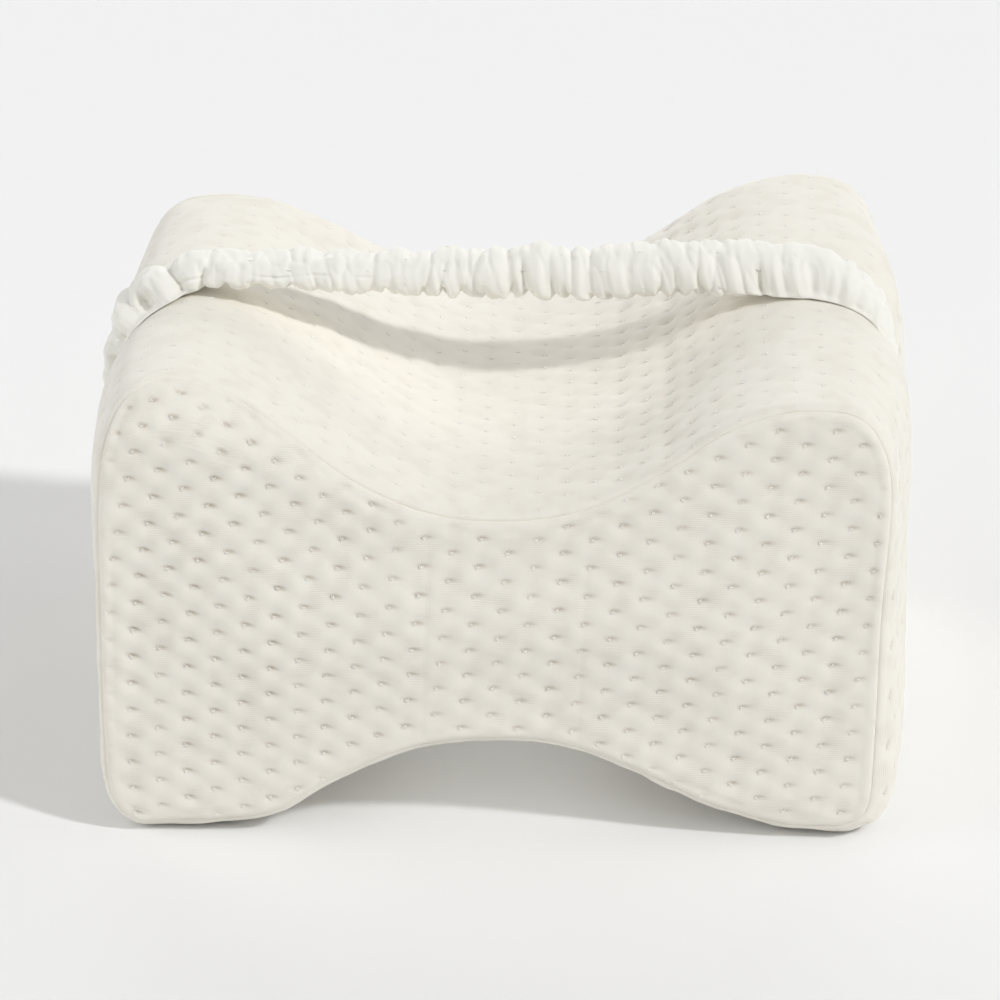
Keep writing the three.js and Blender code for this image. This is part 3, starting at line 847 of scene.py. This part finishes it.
def jacquard_knit(settings):
    """Air-layer polyester jacquard, knitted and quilted: matt and a little fuzzy, with painted shade
    greying its pinches.
    """
    finish = {"Roughness": 0.95, "Specular IOR Level": 0.25, "Sheen Weight": 0.25, "Sheen Roughness": 0.5}
    material, tree, shader = start_material("jacquard_knit", finish)
    cloth = add_node(tree, "ShaderNodeUVMap", uv_map="cloth").outputs["UV"]
    pinch_shade = add_node(tree, "ShaderNodeAttribute", attribute_name="pinch_shade").outputs["Fac"]
    shades = two_shades(tree, shader, settings, cloth, 60.0)
    # Courses of the knit, 0.7 mm apart, which show in patches where the cloth is pulled tight
    courses = add_node(
        tree,
        "ShaderNodeTexWave",
        {"Scale": 0.314 / 0.0007, "Distortion": 2.0, "Detail": 2.0, "Detail Scale": 0.6},
        {"Vector": cloth},
        bands_direction="Y",
    ).outputs["Fac"]
    tight = add_node(
        tree, "ShaderNodeTexNoise", {"Scale": 110.0, "Detail": 1.0}, {"Vector": cloth}
    ).outputs["Fac"]
    tight = add_node(
        tree, "ShaderNodeMapRange", {"From Min": 0.5, "From Max": 0.62, "To Min": 0.1}, {"Value": tight}
    ).outputs["Result"]
    loops = add_node(
        tree, "ShaderNodeTexNoise", {"Scale": 900.0, "Detail": 2.0, "Roughness": 0.6}, {"Vector": cloth}
    ).outputs["Fac"]
    pulled = add_node(tree, "ShaderNodeMath", None, {0: courses, 1: tight}, operation="MULTIPLY").outputs[0]
    shaded = add_node(tree, "ShaderNodeMath", {1: 0.25}, {0: pulled}, operation="MULTIPLY").outputs[0]
    colour = shades
    # The colour between the courses, then painted shade down in the pinches
    for hex_colour, share in ((settings.course_hex, shaded), (settings.pinch_shade_hex, pinch_shade)):
        links = {6: colour.outputs[2], "Factor": share}
        colour = add_node(tree, "ShaderNodeMix", {7: linear(hex_colour)}, links, data_type="RGBA")
    tree.links.new(colour.outputs[2], shader.inputs["Base Color"])
    relief = add_node(tree, "ShaderNodeMath", {1: 0.6}, {0: loops}, operation="MULTIPLY").outputs[0]
    relief = add_node(tree, "ShaderNodeMath", None, {0: pulled, 1: relief}, operation="ADD").outputs[0]
    bump = add_node(tree, "ShaderNodeBump", {"Strength": 0.5, "Distance": 0.00012}, {"Height": relief})
    tree.links.new(bump.outputs["Normal"], shader.inputs["Normal"])
    return material


def polyester_thread():
    """Trilobal polyester embroidery thread, twisted: whiter than the knit, with a silky shine."""
    finish = {"Roughness": 0.35, "Specular IOR Level": 0.5}
    material, tree, shader = start_material("polyester_thread", finish)
    place = add_node(tree, "ShaderNodeTexCoord").outputs["Object"]
    twist = add_node(
        tree, "ShaderNodeTexNoise", {"Scale": 2500.0, "Detail": 1.0}, {"Vector": place}
    ).outputs["Fac"]
    ends = {6: linear("FBFAF6"), 7: linear("F1EFE8")}
    shades = add_node(tree, "ShaderNodeMix", ends, {"Factor": twist}, data_type="RGBA")
    tree.links.new(shades.outputs[2], shader.inputs["Base Color"])
    bump = add_node(tree, "ShaderNodeBump", {"Strength": 0.4, "Distance": 0.00005}, {"Height": twist})
    tree.links.new(bump.outputs["Normal"], shader.inputs["Normal"])
    return material


def gathered_knit(settings):
    """Fine interlock knit gathered over elastic: smooth and matt, a little brighter than the cover."""
    finish = {"Roughness": 0.9, "Specular IOR Level": 0.3, "Sheen Weight": 0.25}
    material, tree, shader = start_material("gathered_knit", finish)
    cloth = add_node(tree, "ShaderNodeUVMap", uv_map="cloth").outputs["UV"]
    two_shades(tree, shader, settings, cloth, 90.0)
    loops = add_node(
        tree, "ShaderNodeTexNoise", {"Scale": 1200.0, "Detail": 2.0, "Roughness": 0.6}, {"Vector": cloth}
    ).outputs["Fac"]
    bump = add_node(tree, "ShaderNodeBump", {"Strength": 0.3, "Distance": 0.00008}, {"Height": loops})
    tree.links.new(bump.outputs["Normal"], shader.inputs["Normal"])
    return material


def floor_paint(settings):
    """A plain pale matt floor."""
    finish = {"Base Color": linear(settings.floor_hex), "Roughness": 1, "Specular IOR Level": 0}
    return start_material("floor_paint", finish)[0]


class KneePillowCover(bpy.types.PropertyGroup):
    """The quilted cover"""

    face_hex: StringProperty(name="Face", description="Colour of the knit's face", default="F5F2E9")
    shade_hex: StringProperty(name="Shade", description="Its slightly deeper shade", default="F0ECE1")
    course_hex: StringProperty(name="Courses", description="Colour between its courses", default="D9D2C2")
    # Painted shade: the colour that greys the pinches
    pinch_shade_hex: StringProperty(name="Hollow", description="Colour down in the pinches", default="D2CBBC")


class KneePillowStrap(bpy.types.PropertyGroup):
    """The leg strap"""

    gather_depth: FloatProperty(
        name="Gather depth", description="Depth of the gathers", default=1.1, min=0, max=2, subtype="FACTOR"
    )
    face_hex: StringProperty(name="Face", description="Colour of the casing", default="F7F6EF")
    shade_hex: StringProperty(name="Shade", description="Its slightly deeper shade", default="F3F1E9")


# The soft lights round the table: each one's turn from the front, its lean from overhead and its share
SOFT_LIGHTS = (
    (0, 50, 0.1),
    (60, 50, 0.165),
    (120, 50, 0.2),
    (240, 50, 0.065),
    (300, 50, 0.2),
    (180, 80, 0.62),
    (270, 80, 0.315),
)
SOFT_SIZE = math.radians(60)
FLOOR_HALF = 4.0
# Light that the floor throws back under the arch
ARCH_GLOW = {"length": 0.12, "depth": 0.18, "height": 0.024}


def place_sun(name, turn, lean, energy, size):
    """A far light of a given size, turned from the front and leaning from overhead."""
    light = bpy.data.lights.new(name, "SUN")
    light.energy = energy
    light.angle = size
    lamp = bpy.data.objects.new(name, light)
    towards = Vector((math.sin(lean) * math.sin(turn), -math.sin(lean) * math.cos(turn), math.cos(lean)))
    lamp.rotation_euler = towards.to_track_quat("Z", "Y").to_euler()
    lamp.location = towards
    bpy.context.scene.collection.objects.link(lamp)


class KneePillowStage(bpy.types.PropertyGroup):
    """The floor, the lights and the camera"""

    floor_hex: StringProperty(name="Floor", description="Colour of the floor", default="F6F6F6")
    key: FloatProperty(name="Key light", description="Strength of the key light", default=1.385, min=0)
    fill: FloatProperty(name="Soft lights", description="Strength of the soft lights", default=3.14, min=0)
    room: FloatProperty(name="Room", description="Light from everywhere", default=0.0, min=0)
    arch_glow: FloatProperty(
        name="Arch glow", description="Light under the arch", default=0.013, min=0, unit="POWER"
    )
    key_turn: FloatProperty(
        name="Key turn", description="Where the key light stands", default=math.radians(58), subtype="ANGLE"
    )
    key_lean: FloatProperty(
        name="Key lean", description="How far from overhead", default=math.radians(50), subtype="ANGLE"
    )
    key_size: FloatProperty(
        name="Key size", description="How soft its shadows are", default=math.radians(5), subtype="ANGLE"
    )
    yaw: FloatProperty(
        name="Yaw", description="Camera from the right", default=math.radians(1.5), subtype="ANGLE"
    )
    elevation: FloatProperty(
        name="Elevation", description="Camera above the floor", default=math.radians(25), subtype="ANGLE"
    )
    distance: FloatProperty(name="Distance", description="Camera to pillow", default=1.746, unit="LENGTH")
    lens: FloatProperty(name="Lens", description="Focal length in millimetres", default=192.96)
    target: FloatVectorProperty(
        name="Target", description="What the camera looks at", default=(-0.0024, 0, 0.0732), unit="LENGTH"
    )


class KNEEPILLOW_OT_stage(bpy.types.Operator):
    """Lays the floor, sets the lights and the camera"""

    bl_idname = "kneepillow.stage"
    bl_label = "Stage"

    def execute(self, context):
        settings = context.scene.knee_pillow_stage
        scene = context.scene
        scene.view_settings.view_transform = "Standard"
        mesh = bpy.data.meshes.new("floor")
        corners = [(x * FLOOR_HALF, y * FLOOR_HALF, 0) for x, y in ((-1, -1), (1, -1), (1, 1), (-1, 1))]
        mesh.from_pydata(corners, [], [(0, 1, 2, 3)])
        mesh.materials.append(floor_paint(settings))
        floor = bpy.data.objects.new("floor", mesh)
        scene.collection.objects.link(floor)

        world = bpy.data.worlds.new("studio")
        world.use_nodes = True
        sky = world.node_tree.nodes["Background"].inputs
        sky["Color"].default_value = (1, 1, 1, 1)
        sky["Strength"].default_value = settings.room
        scene.world = world

        place_sun("key", settings.key_turn, settings.key_lean, settings.key, settings.key_size)
        for turn, lean, share in SOFT_LIGHTS:
            energy = settings.fill * share
            place_sun(f"soft_{turn}_{lean}", math.radians(turn), math.radians(lean), energy, SOFT_SIZE)
        glow = bpy.data.lights.new("arch_glow", "AREA")
        glow.shape = "RECTANGLE"
        glow.size, glow.size_y = ARCH_GLOW["length"], ARCH_GLOW["depth"]
        glow.energy = settings.arch_glow
        lamp = bpy.data.objects.new("arch_glow", glow)
        lamp.location = (0, 0, ARCH_GLOW["height"])
        lamp.visible_camera = False
        scene.collection.objects.link(lamp)

        yaw, elevation = settings.yaw, settings.elevation
        back = Vector(
            (math.sin(yaw) * math.cos(elevation), -math.cos(yaw) * math.cos(elevation), math.sin(elevation))
        )
        camera = bpy.data.cameras.new("camera")
        camera.lens = settings.lens
        camera.sensor_width = 36
        camera.clip_end = 20
        eye = bpy.data.objects.new("camera", camera)
        eye.matrix_world = Matrix.Translation(Vector(settings.target) + back * settings.distance) @ (
            back.to_track_quat("Z", "Y").to_matrix().to_4x4()
        )
        scene.collection.objects.link(eye)
        scene.camera = eye
        return {"FINISHED"}


class KNEEPILLOW_OT_panels(bpy.types.Operator):
    """Sews the front and the back panel"""

    bl_idname = "kneepillow.panels"
    bl_label = "Front and back panel"

    def execute(self, context):
        material = knit_of(context)
        face_panel("front_panel", -1, {"rim": 0.8, "rings": 20, "across": 0.87, "up": 0.5}, material)
        face_panel("back_panel", 1, {"rim": 1.0, "rings": 20, "across": 1.0, "up": 0.65}, material)
        return {"FINISHED"}


class KNEEPILLOW_OT_band(bpy.types.Operator):
    """Sews the wrap band: over the top and the side walls, and under the base"""

    bl_idname = "kneepillow.band"
    bl_label = "Wrap band"

    def execute(self, context):
        material = knit_of(context)
        band_strip("wrap_band_top", FOOT_RIGHT, FOOT_LEFT, {"along": 1.2, "across": 1.15}, material)
        band_strip("wrap_band_base", FOOT_LEFT, FOOT_RIGHT + ROWS, {"along": 1.6, "across": 1.6}, material)
        return {"FINISHED"}


class KNEEPILLOW_OT_strap(bpy.types.Operator):
    """Gathers the leg strap and lays it over both humps"""

    bl_idname = "kneepillow.strap"
    bl_label = "Leg strap"

    def execute(self, context):
        settings = context.scene.knee_pillow_strap
        strap_piece(settings, gathered_knit(settings))
        return {"FINISHED"}


class KNEEPILLOW_PT_panel(bpy.types.Panel):
    """The knee pillow's pieces and settings"""

    bl_idname = "KNEEPILLOW_PT_panel"
    bl_label = "Knee Pillow"
    bl_space_type = "VIEW_3D"
    bl_region_type = "UI"
    bl_category = "Knee Pillow"

    def draw(self, context):
        for settings, operators in (
            (context.scene.knee_pillow_stage, (KNEEPILLOW_OT_stage,)),
            (context.scene.knee_pillow_cover, (KNEEPILLOW_OT_panels, KNEEPILLOW_OT_band)),
            (context.scene.knee_pillow_strap, (KNEEPILLOW_OT_strap,)),
        ):
            box = self.layout.box()
            for name in settings.__annotations__:
                box.prop(settings, name)
            for operator in operators:
                box.operator(operator.bl_idname)


def knit_of(context):
    """The cover's knit, made once."""
    return bpy.data.materials.get("jacquard_knit") or jacquard_knit(context.scene.knee_pillow_cover)


GROUPS = {
    "knee_pillow_stage": KneePillowStage,
    "knee_pillow_cover": KneePillowCover,
    "knee_pillow_strap": KneePillowStrap,
}
OPERATORS = (KNEEPILLOW_OT_stage, KNEEPILLOW_OT_panels, KNEEPILLOW_OT_band, KNEEPILLOW_OT_strap)


def register():
    for name, group in GROUPS.items():
        bpy.utils.register_class(group)
        setattr(bpy.types.Scene, name, PointerProperty(type=group))
    for operator in OPERATORS:
        bpy.utils.register_class(operator)
    bpy.utils.register_class(KNEEPILLOW_PT_panel)


def unregister():
    bpy.utils.unregister_class(KNEEPILLOW_PT_panel)
    for operator in reversed(OPERATORS):
        bpy.utils.unregister_class(operator)
    for name, group in GROUPS.items():
        delattr(bpy.types.Scene, name)
        bpy.utils.unregister_class(group)


def main():
    register()
    bpy.ops.kneepillow.stage()
    bpy.ops.kneepillow.panels()
    bpy.ops.kneepillow.band()
    bpy.ops.kneepillow.strap()


if __name__ == "__main__":
    main()
